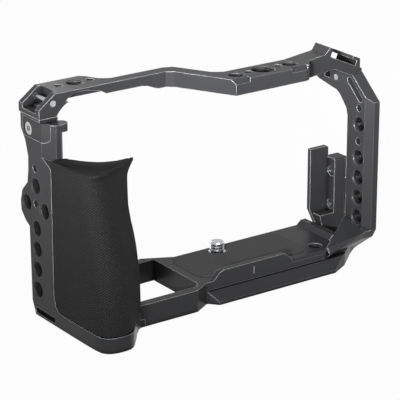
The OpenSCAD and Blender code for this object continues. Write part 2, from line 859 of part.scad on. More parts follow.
module right_arm() {
    color(anodised) difference() {
        union() {
            along_x(right_in, right_wall) polygon([for (s = arm_shares) [s[0] * base_front, s[1] * arm_top]]);
            difference() {
                union() {
                    web();
                    along_z(0, foot_top) arm_foot_plan();
                }
                base_end_room();
            }
            // Tongue that laps under the base
            translate([lap_x, -lap_front, 0]) cube([base_end - lap_x + over, lap_front - lap_back, lap_h]);
        }
        // Bevel on the inner front edge
        along_z(web_top * 0.79, arm_top) polygon([
            [right_in - over, -base_front - over],
            [right_in + arm_bevel, -base_front - over],
            [right_in + arm_bevel, -base_front],
            [right_in, -base_front + arm_bevel],
            [right_in - over, -base_front + arm_bevel]
        ]);
        // Threaded holes, with locating holes beside the top one
        for (i = [0 : 3])
            threaded_x(quarter_d, right_in, -arm_hole_y, arm_hole_z + i * row_pitch, right_wall);
        threaded_x(quarter_d, right_in, -arm_hole_y, arm_top_hole_z, right_wall);
        for (z = [arm_top_hole_z - locate_pitch, arm_top_hole_z + locate_pitch])
            bore_x(locate_d, right_in - over, -arm_hole_y, z, right_wall + 2 * over);
        // Strap slot along the upper front corner
        translate([0, -base_front * 0.645, arm_top - strap_slot_drop]) rotate([strap_slot_tilt, 0, 0])
            slot_x(strap_slot_w, strap_slot_l, right_in - over, right_wall + 2 * over);
        // Notch behind the tenon
        translate([right_in - over, notch_y, arm_top - notch_h])
            cube([notch_d + over, notch_l, notch_h + over]);
        // Mortise and pin for the top bar
        tenon(seat_gap);
        bore_x(pin_d + 2 * seat_gap, right_in - over, -pin_y, pin_z, right_wall + 2 * over);
        for (y = lap_screw_ys) flat_screw_hole(lap_screw_x, y, 0, lap_screw_l);
        flat_screw_hole(bracket_screw_x, bracket_screw_y, 0, bracket_screw_l);
    }
}

module tenon(gap) {
    translate([
        right_in + (right_wall - tenon_t) / 2 - gap,
        -pin_y - tenon_l / 2 - gap,
        arm_top - tenon_h - gap
    ])
        cube([tenon_t + 2 * gap, tenon_l + 2 * gap, tenon_h + gap + over]);
}

module dowel_pin() {
    color(steel) bore_x(pin_d, right_in, -pin_y, pin_z, right_wall);
}

module right_base_screws() {
    color(steel) for (y = lap_screw_ys) flat_screw(lap_screw_x, y, 0, lap_screw_l - seat_gap);
}

// Leaf of the bracket that stands behind the camera's side, seen from the front
module leaf_face() {
    polygon([
        [leaf_left + leaf_w * 0.38, foot_top],
        [bracket_screw_x, foot_top],
        [bracket_screw_x, bracket_top - over],
        [right_in, bracket_top],
        [right_in, bracket_top + leaf_rise - bracket_bevel],
        [right_in - bracket_bevel * 1.5, bracket_top + leaf_rise],
        [leaf_left, bracket_top + leaf_rise],
        [leaf_left, base_h + leaf_w * 0.82],
        [leaf_left + leaf_w * 0.38, base_h]
    ]);
}

// Block below the leaf
module ledge_face() {
    polygon([
        [leaf_left + leaf_w * 0.38, foot_top],
        [right_in + over, foot_top],
        [right_in + over, ledge_z],
        [leaf_left + leaf_w * 0.22, ledge_z],
        [leaf_left + leaf_w * 0.38, base_h]
    ]);
}

module port_bracket() {
    color(anodised) difference() {
        union() {
            // Wall in line with the port plate
            translate([right_in, -bracket_front, foot_top])
                cube([bracket_right - right_in, bracket_d + leaf_t, bracket_top - foot_top]);
            along_y(-bracket_front + bracket_d, leaf_t) leaf_face();
            along_y(-bracket_front, bracket_d + over) ledge_face();
        }
        // Bevels along the top edges
        along_y(-bracket_front - over, bracket_d + leaf_t + 2 * over) polygon([
            [bracket_right + over, bracket_top - bracket_bevel - over],
            [bracket_right + over, bracket_top + over],
            [bracket_right - bracket_bevel - over, bracket_top + over]
        ]);
        along_x(right_in - over, right_wall + bracket_out + 2 * over) polygon([
            [-bracket_front - over, bracket_top - bracket_bevel - over],
            [-bracket_front + bracket_bevel + over, bracket_top + over],
            [-bracket_front - over, bracket_top + over]
        ]);
        // Slits for the lugs of a cable clamp
        for (z = slit_zs)
            translate([bracket_right - slit_d - slit_w, -bracket_front - over, z])
                cube([slit_w, slit_d + over, slit_l]);
        for (z = clamp_zs) {
            bore_x(clamp_head_d + 2 * seat_gap, right_in - over, clamp_y, z, clamp_depth + over);
            bore_x(clamp_shank_d + 2 * seat_gap, right_in, clamp_y, z, right_wall + bracket_out + over);
        }
        flat_screw_hole(bracket_screw_x, bracket_screw_y, 0, bracket_screw_l);
        base_end_room();
    }
}

// Two short cross-head screws parked in the bracket for a cable clamp, and the one that holds it
module bracket_screws() {
    color(steel) {
        for (z = clamp_zs) difference() {
            union() {
                bore_x(clamp_head_d, right_in + clamp_sink, clamp_y, z, clamp_depth - clamp_sink);
                bore_x(clamp_shank_d, right_in + clamp_sink, clamp_y, z, right_wall - clamp_sink);
            }
            for (turn = [0, 90]) translate([right_in, clamp_y, z]) rotate([turn, 0, 0])
                translate([0, -clamp_head_d * 0.3, -clamp_slot / 2])
                    cube([clamp_depth * 0.6, clamp_head_d * 0.6, clamp_slot]);
        }
        flat_screw(bracket_screw_x, bracket_screw_y, 0, bracket_screw_l - seat_gap);
    }
}

// Bar, block and wing seen from above
module top_plan() {
    polygon([
        [-bar_x, -bar_front],
        [-hump_start, -bar_front],
        [-hump_start * 0.89, -bar_front * 2.15],
        [-hump_start * 0.475, -hump_front + hump_edge * 1.1],
        [-hump_start * 0.41, -hump_front],
        [hump_right - hump_r, -hump_front],
        [hump_right - hump_r * 0.3, -hump_front + hump_r * 0.3],
        [hump_right, -hump_front + hump_r],
        [hump_right + hump_r * 0.83, -hump_front + hump_d * 0.437],
        [right_x, -arm_hole_y * 0.717],
        [right_x, -bar_front],
        [shoe_x + shoe_w * 0.25, -bar_front * 1.75],
        [shoe_x - shoe_w * 0.68, -hump_front + hump_d * 1.357],
        [shoe_x - shoe_w * 1.65, -hump_front + hump_d],
        [-hump_start * 0.31, -hump_front + hump_d * 1.03],
        [-hump_start * 0.46, -hump_front + hump_d * 1.246],
        [-hump_start * 0.77, bar_front],
        [-hump_start * 0.92, bar_w - bar_front],
        [-bar_x + bar_pad_l * 1.485, bar_w - bar_front],
        [-bar_x + bar_pad_l * 1.28, bar_back * 0.47],
        [-bar_x + bar_pad_l * 1.15, bar_back * 0.85],
        [-bar_x + bar_pad_l * 1.035, bar_back],
        [-bar_x, bar_back]
    ]);
}

// Bar, block and wing seen from the front
module top_face() {
    polygon(concat(
        [
            [-left_x, corner_seam + seat_gap],
            [-left_x, cage_h - corner_run_z],
            [-bar_x, cage_h],
            [shoe_x - shoe_w * 0.65, cage_h],
            [shoe_x - shoe_w * 0.465, cage_h + shoe_lip * 1.6],
            [shoe_x - shoe_w * 0.45, cage_h - bar_front],
            [shoe_x + shoe_w * 0.46, wing_z - shoe_w * 0.22],
            [right_x, arm_top + wing_edge],
            [right_x, arm_top + seat_gap],
            [right_in, arm_top + seat_gap],
            [shoe_x - shoe_wall, hump_under - wing_step],
            [hump_right + hump_r * 0.83, hump_under - wing_step],
            [hump_right, hump_under],
            [-hump_start * 1.12, hump_under],
            [-hump_start * 1.19, hump_under + (hump_t - bar_t) * 0.2],
            [-hump_start * 1.32, hump_under + (hump_t - bar_t) * 0.8],
            [-hump_start * 1.42, top_under]
        ],
        soften([
            for (s = inner_corner_shares) [-bar_x + inner_in + s[0] * inner_run, top_under - s[1] * inner_h]
        ])
    ));
}

module shoe_profile() {
    polygon([
        [-shoe_w / 2 - shoe_wall, -shoe_floor_t],
        [shoe_w / 2 + shoe_wall + shoe_flank, -shoe_floor_t],
        [shoe_w / 2 + shoe_wall, shoe_clear + shoe_lip - shoe_bevel],
        [shoe_w / 2 + shoe_wall - shoe_bevel, shoe_clear + shoe_lip],
        [shoe_gap / 2, shoe_clear + shoe_lip],
        [shoe_gap / 2, shoe_clear],
        [shoe_w / 2, shoe_clear],
        [shoe_w / 2, 0],
        [-shoe_w / 2, 0],
        [-shoe_w / 2, shoe_clear],
        [-shoe_gap / 2, shoe_clear],
        [-shoe_gap / 2, shoe_clear + shoe_lip],
        [-shoe_w / 2 - shoe_wall + shoe_bevel, shoe_clear + shoe_lip],
        [-shoe_w / 2 - shoe_wall, shoe_clear + shoe_lip - shoe_bevel]
    ]);
}

module top_bar() {
    color(anodised) difference() {
        union() {
            intersection() {
                union() {
                    along_z(arm_top, hump_t + cage_h - arm_top) top_plan();
                    translate([-left_x, -bar_front, corner_seam])
                        cube([left_x - bar_x + over, bar_pad_w, cage_h - corner_seam]);
                }
                along_y(-hump_front - over, hump_front + bar_pad_w + 2 * over) top_face();
            }
            // Shoe on the wing
            intersection() {
                along_z(arm_top + seat_gap, cage_h) top_plan();
                translate([shoe_x, 0, wing_z]) rotate([0, shoe_tilt, 0])
                    along_y(-hump_front, hump_front) shoe_profile();
            }
            tenon(0);
        }
        // Channel of the shoe stays open
        translate([shoe_x, -hump_front, wing_z]) rotate([0, shoe_tilt, 0]) {
            translate([-shoe_w / 2, 0, 0]) cube([shoe_w, hump_front, shoe_clear]);
            translate([-shoe_w / 2, 0, 0])
                cube([shoe_w, hump_front - lip_front, shoe_clear + shoe_lip + over]);
            translate([-shoe_gap / 2, 0, 0]) cube([shoe_gap, hump_front, shoe_clear + shoe_lip + over]);
        }
        // Scoop under the front edge of the bar
        along_y(-bar_front - over, scoop_d + over) polygon(concat(
            [[-bar_hole_x - scoop_l / 2, top_under - over]],
            [for (s = scoop_shares) [-bar_hole_x + (s[0] - 0.5) * scoop_l, top_under + s[1] * scoop_h]],
            [[-bar_hole_x + scoop_l / 2, top_under - over]]
        ));
        block_bevels();
        // Threaded and locating holes in the block
        threaded_z(three_eighths_d, hump_hole_x, -hump_hole_y, hump_under, hump_t);
        for (x = [hump_hole_x - locate_pitch, hump_hole_x + locate_pitch])
            bore_z(locate_d, x, -hump_hole_y, hump_under - over, hump_t + 2 * over);
        for (x = [hump_hole_x - hump_hole_pitch, hump_hole_x + hump_hole_pitch])
            threaded_z(quarter_d, x, -hump_hole_y, hump_under, hump_t);
        // Threaded and locating holes in the slim bar
        threaded_z(quarter_d, -bar_hole_x, bar_hole_y, top_under, bar_t);
        for (x = [-bar_hole_x - locate_pitch, -bar_hole_x + locate_pitch])
            bore_z(locate_d, x, bar_hole_y, top_under - over, bar_t + 2 * over);
        // Strap window with its pin
        translate([-left_x - over, -bar_front + cheek_t, corner_seam + window_floor])
            cube([window_l + over, bar_pad_w - 2 * cheek_t, cage_h]);
        bore_y(pin_d + 2 * seat_gap, -strap_pin_x, -bar_front - over, strap_pin_z, bar_pad_w + 2 * over);
        for (y = top_left_ys)
            bore_z(small_screw_d + 2 * seat_gap, -top_left_x, y, corner_seam, window_floor + over);
        bore_x(pin_d + 2 * seat_gap, right_in - over, -pin_y, pin_z, right_wall + 2 * over);
    }
}

// Broad bevels at both ends of the block's front edge, and a fine one between them
module block_bevels() {
    for (x = [-hump_start * 0.457, hump_right - hump_start * 0.375])
        translate([x, -hump_front, cage_h]) rotate([45, 0, 0])
            translate([0, -hump_bevel * 2, -hump_bevel * 0.707])
                cube([hump_start * 0.3, 4 * hump_bevel, 4 * hump_bevel]);
    along_x(-hump_start * 0.457, hump_right + hump_start * 0.457) polygon([
        [-hump_front - over, cage_h - hump_line - over],
        [-hump_front + hump_line + over, cage_h + over],
        [-hump_front - over, cage_h + over]
    ]);
}

module strap_pin() {
    color(steel) bore_y(pin_d, -strap_pin_x, -bar_front, strap_pin_z, bar_pad_w);
}

module top_left_screws() {
    color(steel) for (y = top_left_ys) difference() {
        union() {
            bore_z(small_head_d, -top_left_x, y, corner_seam + window_floor + seat_gap, small_head_h);
            bore_z(small_screw_d, -top_left_x, y, corner_seam + window_floor + over - top_left_l, top_left_l);
        }
        translate([-top_left_x, y, corner_seam + window_floor + small_head_h / 2])
            cylinder(d = small_screw_d * 0.6, h = small_head_h, $fn = 6);
    }
}

// Boss over the lug block, seen from above
module boss_plan() {
    polygon([
        [-left_x, -bar_front + over],
        [-left_x, -bar_front - boss_start],
        [-left_x + boss_slope, -bar_front - boss_reach],
        [-left_x + boss_w - boss_cut, -bar_front - boss_reach],
        [-left_x + boss_w, -bar_front - boss_reach + boss_cut],
        [-left_x + boss_w, -bar_front + over]
    ]);
}

// Lug block seen from above; its outer face follows the slope of the boss
module lug_plan(gap, out) {
    polygon([
        [-left_x + boss_slope * lug_share - out, -lug_front - gap],
        [-left_x + boss_slope * lug_share + gap, -lug_front - gap],
        [-left_x + lug_t + gap, -lug_front + lug_bevel - gap],
        [-left_x + lug_t + gap, lug_back + gap],
        [-left_x - out, lug_back + gap],
        [-left_x - out, -bar_front - boss_start]
    ]);
}

// Lug block seen along X, with a round lower front corner
module lug_side(gap) {
    difference() {
        translate([-lug_front - gap, lug_z - gap]) square([lug_front + lug_back + 2 * gap, lug_h + 2 * gap]);
        translate([-lug_front - gap, lug_z - gap]) difference() {
            translate([-over, -over]) square(lug_r + over);
            translate([lug_r, lug_r]) circle(lug_r);
        }
    }
}

module lug_body(gap, out) {
    intersection() {
        along_z(lug_z - gap, lug_h + 2 * gap) lug_plan(gap, out);
        along_x(-left_x - over, left_wall) lug_side(gap);
    }
}

// Foot of the grip seen from above, one piece with the side plate
module foot_plan() {
    polygon(soften([
        for (s = foot_shares) [
            -left_x + s[0] * grip_w,
            -strip_front + over - s[1] * (grip_front - strip_front + over)
        ]
    ]));
}

// Curved corner between the foot and the side plate, seen along X
module gusset_side(gap) {
    polygon(concat(
        [
            [-strip_front + over, foot_h - over],
            [-strip_front + over, foot_h + gusset_h + gap]
        ],
        [for (a = [0 : 15 : 90]) [
            -strip_front - gusset_l * (1 - cos(a)) - gap,
            foot_h + gusset_h * (1 - sin(a)) + gap
        ]],
        [[-strip_front - gusset_l - gap, foot_h - over]]
    ));
}

// Space that the end of the front rail takes above its lap
module rail_room(z) {
    translate([-rail_end - seat_gap, -rail_front - seat_gap, z])
        cube([rail_end, rail_w + 2 * seat_gap, base_h + seat_gap - z]);
}

module left_plate() {
    color(anodised) difference() {
        union() {
            along_x(-left_x, left_wall)
                polygon([for (s = left_shares) [s[0] * base_front, s[1] * corner_seam]]);
            along_z(boss_top - boss_h, boss_h) boss_plan();
            // Thicker head under the corner of the top bar
            translate([-left_in - over, -bar_front, corner_seam - joint_pad_h])
                cube([joint_pad_t + over, bar_pad_w - edge, joint_pad_h]);
            // Round hook that reaches behind the camera's strap lug
            bore_z(boss_reach, -left_x + boss_w, -bar_front - boss_reach / 2, boss_top - hook_h, hook_h);
            // Flange that laps under the rear rail
            translate([-left_in - over, 0, 0]) cube([lap_l + over - seat_gap, flange_back, lap_h]);
            // Foot of the grip, with a tongue that laps under the front rail
            along_z(0, foot_h) foot_plan();
            along_x(-left_x, gusset_t) gusset_side(0);
            translate([-rail_end - over, -rail_front, 0]) cube([rail_lap + over - seat_gap, rail_w, lap_h]);
        }
        rail_room(lap_h);
        for (i = [0 : 3])
            threaded_x(quarter_d, -left_x, left_hole_y, left_low_z + i * left_pitch, left_wall);
        threaded_x(quarter_d, -left_x, left_hole_y, left_top_hole_z, left_wall);
        for (z = [left_top_hole_z - locate_pitch, left_top_hole_z + locate_pitch])
            bore_x(locate_d, -left_x - over, left_hole_y, z, left_wall + 2 * over);
        for (y = left_pair_ys) threaded_x(quarter_d, -left_x, y, left_pair_z, left_wall);
        // Strap slot near the bottom
        translate([0, -strap_low_y, strap_low_z])
            slot_x(strap_low_w, strap_low_l, -left_x - over, left_wall + 2 * over);
        // Recess and screw hole for the lug block
        lug_body(lug_seam, over);
        bore_x(lug_bore_d, -left_x, lug_screw_y, lug_screw_z, left_wall + lug_travel + over);
        for (y = top_left_ys)
            bore_z(small_screw_d + 2 * seat_gap, -top_left_x, y, corner_seam - top_left_l, top_left_l + over);
        flat_screw_hole(-left_screw_x, left_screw_y, 0, lap_screw_l);
        flat_screw_hole(-rail_screw_x, -rail_screw_y, 0, lap_screw_l);
        for (s = foot_screw_shares) foot_screw_hole(s);
    }
}

module left_base_screw() {
    color(steel) flat_screw(-left_screw_x, left_screw_y, 0, lap_screw_l - seat_gap);
}

module lug_block() {
    color(dark_anodised) difference() {
        lug_body(0, 0);
        bore_x(lug_bore_d, -left_x - over, lug_screw_y, lug_screw_z, lug_t + 2 * over);
        bore_x(lug_head_d + 2 * run_gap, -left_x - over, lug_screw_y, lug_screw_z, lug_head_h + over);
    }
}

// The shank is longer than the plate by the block's travel, so that it holds at both ends
module lug_screw() {
    color(steel) difference() {
        union() {
            bore_x(lug_head_d, -left_x + lug_sink, lug_screw_y, lug_screw_z, lug_head_h - lug_sink - run_gap);
            bore_x(small_screw_d, -left_x + lug_sink, lug_screw_y, lug_screw_z, lug_shank_l);
        }
        translate([-left_x, lug_screw_y, lug_screw_z]) rotate([0, 90, 0])
            cylinder(d = small_screw_d, h = lug_head_h * 0.7, $fn = 6);
    }
}

// Front line of the grip's body at a share t of its height: side plate, nose, inner tip
function body_line(t) = soften([
    for (s = blend(low_shares, rim_shares, t)) [
        -left_x + s[0] * grip_w * (1 - lookup(t, inner_shares)),
        -grip_back - s[1] * grip_d * lookup(t, front_shares)
    ]
]);

// Back line of the rubber, from the inner side round the end of the camera to the side plate
strip_line = soften([
    for (s = strip_shares) [
        -left_x + s[0] * strip_reach,
        -grip_back + s[1] * (grip_back - strip_front - seat_gap)
    ]
]);

// A point moved toward the middle of the body, which leaves the thickness of the skin
function pull(p, inset) = p - (p - core_centre) * inset / norm(p - core_centre);

// Solid inside the skin, also used a little larger for the hollow that it sits in
module core_body(from, to, inset) {
    loops = [for (i = [0 : core_steps]) let (
        z = from + (to - from) * i / core_steps,
        t = min(1, max(0, (z - foot_h) / grip_h))
    ) at_height([for (p = body_line(t)) pull(p, inset)], z)];
    loft(loops, core_centre);
}

// Outer form of the rubber: levels that lie closer together toward the rim
module sleeve_body() {
    from = foot_h + seat_gap;
    loops = [for (i = [0 : grip_steps]) let (
        t = 1 - pow(1 - i / grip_steps, 1.7)
    ) at_height(concat(body_line(t), strip_line), from + (grip_top - from) * t)];
    loft(loops, grip_centre);
}

// Dish in the top, rings of the rim's outline that shrink as they go down
module dish() {
    rim = concat(body_line(1), strip_line);
    loops = [for (i = [len(dish_shares) - 1 : -1 : 0]) at_height(
        [for (p = rim) grip_centre + (p - grip_centre) * dish_shares[i][0]],
        grip_top - dish_depth * dish_shares[i][1]
    )];
    loft(loops, grip_centre);
}

module foot_screw_hole(s) {
    flat_screw_hole(-left_x + s[0] * grip_w, -grip_back - s[1] * grip_d, 0, foot_screw_l);
}

module grip_core() {
    color(dark_anodised) difference() {
        core_body(foot_h + seat_gap, core_top, skin_t);
        for (s = foot_screw_shares) foot_screw_hole(s);
        rail_room(0);
    }
}

module grip_sleeve() {
    color(rubber) difference() {
        sleeve_body();
        core_body(foot_h - over, core_top + seat_gap, skin_t - seat_gap);
        dish();
        rail_room(0);
        along_x(-left_x - over, gusset_t + over + seat_gap) gusset_side(seat_gap);
    }
}

module foot_screws() {
    color(steel) for (s = foot_screw_shares)
        flat_screw(-left_x + s[0] * grip_w, -grip_back - s[1] * grip_d, 0, foot_screw_l - seat_gap);
}

module rail_screw() {
    color(steel) flat_screw(-rail_screw_x, -rail_screw_y, 0, lap_screw_l - seat_gap);
}

base_plate();
right_arm();
top_bar();
left_plate();
grip_core();
grip_sleeve();
camera_screw();
screw_clip();
base_pad();
strap_pin();
dowel_pin();
lug_block();
lug_screw();
port_bracket();
bracket_screws();
right_base_screws();
left_base_screw();
rail_screw();
foot_screws();
top_left_screws();
slot_key();
magnets();
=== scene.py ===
"""Looks of the camera cage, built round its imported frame.

Metres, +X to the port side, +Y to the back, +Z up. The CAD nodes keep their shapes and get
materials. Two pieces are made here: the grip's rubber skin, which stands for its CAD node, and
the threads in the threaded holes. Floor, lamps and camera follow the photograph.
"""

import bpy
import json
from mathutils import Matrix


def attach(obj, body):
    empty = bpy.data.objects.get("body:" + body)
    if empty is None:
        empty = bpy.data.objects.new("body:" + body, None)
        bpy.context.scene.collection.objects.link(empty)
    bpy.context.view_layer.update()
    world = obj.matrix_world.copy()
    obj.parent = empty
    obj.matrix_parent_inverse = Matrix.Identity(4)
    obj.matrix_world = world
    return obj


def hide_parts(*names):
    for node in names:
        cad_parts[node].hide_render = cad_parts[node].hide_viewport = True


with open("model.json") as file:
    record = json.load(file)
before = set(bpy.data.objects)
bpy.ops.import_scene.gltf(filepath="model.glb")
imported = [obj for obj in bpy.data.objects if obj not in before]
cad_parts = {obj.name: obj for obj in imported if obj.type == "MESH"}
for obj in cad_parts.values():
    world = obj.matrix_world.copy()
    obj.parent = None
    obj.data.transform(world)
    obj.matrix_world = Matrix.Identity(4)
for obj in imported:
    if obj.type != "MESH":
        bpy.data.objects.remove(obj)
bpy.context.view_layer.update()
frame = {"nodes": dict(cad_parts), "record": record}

import json
import math

import bmesh
import bpy
from mathutils import Matrix, Vector

MM = 0.001
NODES = frame["nodes"]


def add_object(name, data):
    """A new object in the scene."""
    obj = bpy.data.objects.new(name, data)
    bpy.context.scene.collection.objects.link(obj)
    return obj


def point_along(obj, direction):
    """Turn a lamp or camera, which looks along its own -Z, to look along direction."""
    obj.rotation_euler = direction.to_track_quat("-Z", "Y").to_euler()


# Node trees

# A Mix node has sockets of the same names for each kind of value: these are the ones for colours
MIX_FACTOR, MIX_BELOW, MIX_ABOVE = 0, 6, 7
MIX_RESULT = 2


class Tree:
    """The node tree of a material or world, emptied, with short ways to fill it."""

    def __init__(self, owner):
        owner.use_nodes = True
        self.nodes = owner.node_tree.nodes
        self.links = owner.node_tree.links
        self.nodes.clear()

    def put(self, socket, value):
        """Give an input a plain value, or link it to another node's output."""
        if isinstance(value, bpy.types.NodeSocket):
            self.links.new(value, socket)
        else:
            socket.default_value = value

    def add(self, kind, inputs=None, **settings):
        """A new node; inputs go by socket name or number, each a value or an output.

        The settings come first, because they decide which sockets the node has in use.
        """
        node = self.nodes.new(kind)
        for setting, value in settings.items():
            setattr(node, setting, value)
        for socket, value in (inputs or {}).items():
            self.put(node.inputs[socket], value)
        return node

    def calculate(self, operation, *values, clamp=False):
        """The result of one Math node."""
        inputs = dict(enumerate(values))
        node = self.add("ShaderNodeMath", inputs, operation=operation, use_clamp=clamp)
        return node.outputs["Value"]

    def scale(self, color, factor):
        """A colour times a factor."""
        node = self.add("ShaderNodeVectorMath", {0: color, "Scale": factor}, operation="SCALE")
        return node.outputs["Vector"]

    def map_range(self, value, source, target):
        """Carry value from the range source to the range target, and stop at its ends."""
        node = self.add("ShaderNodeMapRange", {
            "Value": value,
            "From Min": source[0],
            "From Max": source[1],
            "To Min": target[0],
            "To Max": target[1],
        })
        return node.outputs["Result"]

    def mix_shaders(self, share, below, above):
        """The shader below, with a share of the shader above."""
        node = self.add("ShaderNodeMixShader", {"Fac": share, 1: below, 2: above})
        return node.outputs["Shader"]

    def object_coordinates(self):
        """Coordinates that stay with a piece when a joint moves it."""
        return self.add("ShaderNodeTexCoord").outputs["Object"]

    def noise(self, scale, detail):
        """Noise from 0 to 1, with about scale patches in a metre."""
        inputs = {"Vector": self.object_coordinates(), "Scale": scale, "Detail": detail}
        return self.add("ShaderNodeTexNoise", inputs).outputs["Fac"]

    def wander(self, pattern, middle, amount):
        """A value that strays from middle by up to amount, as the pattern goes from 0 to 1."""
        return self.map_range(pattern, (0, 1), (middle - amount, middle + amount))


# Materials, in linear colours

ANODISED = (0.025, 0.0253, 0.0265)
DARK_ANODISED = (0.022, 0.022, 0.023)
BLACK_STEEL = (0.035, 0.035, 0.037)
STEEL = (0.52, 0.53, 0.54)
# Threads are darker than the anodising they stand for: painted shade inside the threaded holes
THREAD_IN_PAINTED_SHADE = (0.008, 0.008, 0.008)
RUBBER = (0.014, 0.014, 0.0145)
PAD = (0.045, 0.045, 0.046)

# Colours painted on outer edges: wear with a painted highlight, painted glints on thread crests,
# and a painted shadow line
WORN_AND_HIGHLIT_EDGE = (0.3, 0.3, 0.305)
THREAD_CREST_GLINT = (0.08, 0.08, 0.082)
SHADOW_EDGE = (0.004, 0.004, 0.004)

# The white surroundings show in every gloss, so the gloss is weak
SPECULAR_LEVEL = 0.06

# Rays of each Bevel and Ambient Occlusion node
EDGE_SAMPLES = 8

# Painted shade: hollows are darkened in colour where walls within a reach hide the sky.
# HOLLOW_SKY is the open share of the sky from darkest to plain, and HOLLOW_SHADE is what is left
# of the colour there
HOLLOW_REACH = 2.5 * MM
GROOVE_REACH = 0.9 * MM
THREAD_REACH = 6 * MM
STEEL_REACH = 0.4 * MM
HOLLOW_SKY = (0.25, 0.95)
HOLLOW_SHADE = (0.05, 1)

# Edge colour, for wear and painted light, starts and is full at these cosines between a face's
# normal and the rounded one, and at these shares of solid metal behind the face, to a depth
# given below as a multiple of the edge
EDGE_WEAR_AND_LIGHT_TURN = (0.985, 0.8)
EDGE_WEAR_AND_LIGHT_BACKING = (0.97, 0.8)
EDGE_WEAR_AND_LIGHT_DEPTH = 2

# Wide stains and the fine grain of blasted metal. Here and below, a tint is the share by which
# a pattern makes the colour lighter and darker
STAIN_SCALE, STAIN_DETAIL = 45, 3
STAIN_TINT, STAIN_ROUGHNESS = 0.12, 0.05
BLAST_SCALE, BLAST_DETAIL = 6000, 1
BLAST_DEPTH = 0.02 * MM

# Rings of the lathe, about 0.2 mm apart
RING_SCALE = 1 / (0.6 * MM)
RING_TINT = 0.08
RING_BUMP, RING_DEPTH = 0.15, 0.02 * MM

# Rubber: dots in rows round the grip's upright axis. The colour follows their height, as painted
# light on their tops and painted shade between them, where a share given below is left; they
# fade out as the vertical part of the skin's normal goes through DOT_SLOPE
GRIP_MIDDLE = (-0.072, -0.012)
GRIP_RADIUS = 22 * MM
DOT_PITCH = 1.05 * MM
DOT_BUMP, DOT_DEPTH = 0.9, 0.35 * MM
DOT_GROUND_SHADE = 0.55
DOT_SLOPE = (0.35, 0.7)
RUBBER_ROUGHNESS = 0.62
RUBBER_SCALE, RUBBER_DETAIL = 60, 3
RUBBER_TINT = 0.1

# Felt-like grain of the pad
PAD_ROUGHNESS = 0.8
PAD_SCALE, PAD_DETAIL = 2500, 2
PAD_TINT = 0.25
PAD_BUMP, PAD_DEPTH = 0.4, 0.05 * MM


def new_material(name, color, metallic, roughness):
    """A material with one Principled shader; returns the material, its tree and the shader."""
    material = bpy.data.materials.new(name)
    tree = Tree(material)
    shader = tree.add("ShaderNodeBsdfPrincipled", {
        "Base Color": (*color, 1),
        "Metallic": metallic,
        "Roughness": roughness,
        "Specular IOR Level": SPECULAR_LEVEL,
    })
    tree.add("ShaderNodeOutputMaterial", {"Surface": shader.outputs["BSDF"]})
    return material, tree, shader


def bump(tree, height, strength, depth, normal=None):
    """A normal that follows height, on top of another normal if there is one."""
    inputs = {"Height": height, "Strength": strength, "Distance": depth}
    if normal:
        inputs["Normal"] = normal
    return tree.add("ShaderNodeBump", inputs).outputs["Normal"]


def paint_shade_in_hollows(tree, color, reach):
    """Painted shade: corners, holes and joints are darkened in colour."""
    sky = tree.add("ShaderNodeAmbientOcclusion", {"Distance": reach}, samples=EDGE_SAMPLES)
    return tree.scale(color, tree.map_range(sky.outputs["AO"], HOLLOW_SKY, HOLLOW_SHADE))


def paint_edge_wear_and_light(tree, color, edge_color, edge, rounded):
    """Outer edges take edge_color: wear with a painted highlight on most metal, painted glints
    on thread crests, a painted shadow line on the satin parts; inner corners don't.

    Near any edge the rounded normal leaves the face's own, but only near an outer edge is there
    little metal behind the face.
    """
    face = tree.add("ShaderNodeNewGeometry").outputs["True Normal"]
    turn = tree.add("ShaderNodeVectorMath", {0: face, 1: rounded}, operation="DOT_PRODUCT")
    backing = tree.add(
        "ShaderNodeAmbientOcclusion", {"Distance": EDGE_WEAR_AND_LIGHT_DEPTH * edge},
        samples=EDGE_SAMPLES, inside=True, only_local=True,
    )
    near = tree.map_range(turn.outputs["Value"], EDGE_WEAR_AND_LIGHT_TURN, (0, 1))
    outer = tree.map_range(backing.outputs["AO"], EDGE_WEAR_AND_LIGHT_BACKING, (0, 1))
    mix = tree.add("ShaderNodeMix", {
        MIX_FACTOR: tree.calculate("MULTIPLY", near, outer),
        MIX_BELOW: color,
        MIX_ABOVE: (*edge_color, 1),
    }, data_type="RGBA")
    return mix.outputs[MIX_RESULT]


def metal(name, color, metallic, roughness, grain, edge, edge_color, reach=HOLLOW_REACH):
    """Machined metal: fine grain, slight stains, outer edges in edge_color for wear and painted
    light, and painted shade in hollows.

    grain is the strength of the blasted bump, edge the radius of the edges, and reach how near
    a wall has to be for painted shade in a hollow.
    """
    material, tree, shader = new_material(name, color, metallic, roughness)
    stain = tree.noise(STAIN_SCALE, STAIN_DETAIL)
    blast = tree.noise(BLAST_SCALE, BLAST_DETAIL)
    bevel = tree.add("ShaderNodeBevel", {"Radius": edge}, samples=EDGE_SAMPLES)
    rounded = bevel.outputs["Normal"]
    stained = tree.scale(color, tree.wander(stain, 1, STAIN_TINT))
    # Painted shade in hollows
    shaded = paint_shade_in_hollows(tree, stained, reach)
    # Outer edges in edge_color: wear and painted light
    worn_and_highlit = paint_edge_wear_and_light(tree, shaded, edge_color, edge, rounded)
    tree.put(shader.inputs["Base Color"], worn_and_highlit)
    tree.put(shader.inputs["Roughness"], tree.wander(stain, roughness, STAIN_ROUGHNESS))
    tree.put(shader.inputs["Normal"], bump(tree, blast, grain, BLAST_DEPTH, rounded))
    return material


def turned_metal(name, color, roughness):
    """Bright metal with fine rings from the lathe, and painted shade in its grooves."""
    material, tree, shader = new_material(name, color, 1, roughness)
    rings = tree.add(
        "ShaderNodeTexWave", {"Vector": tree.object_coordinates(), "Scale": RING_SCALE},
        wave_type="RINGS", rings_direction="Z",
    ).outputs["Fac"]
    ringed = tree.scale(color, tree.wander(rings, 1, RING_TINT))
    # Painted shade in the grooves
    tree.put(shader.inputs["Base Color"], paint_shade_in_hollows(tree, ringed, GROOVE_REACH))
    tree.put(shader.inputs["Normal"], bump(tree, rings, RING_BUMP, RING_DEPTH))
    return material


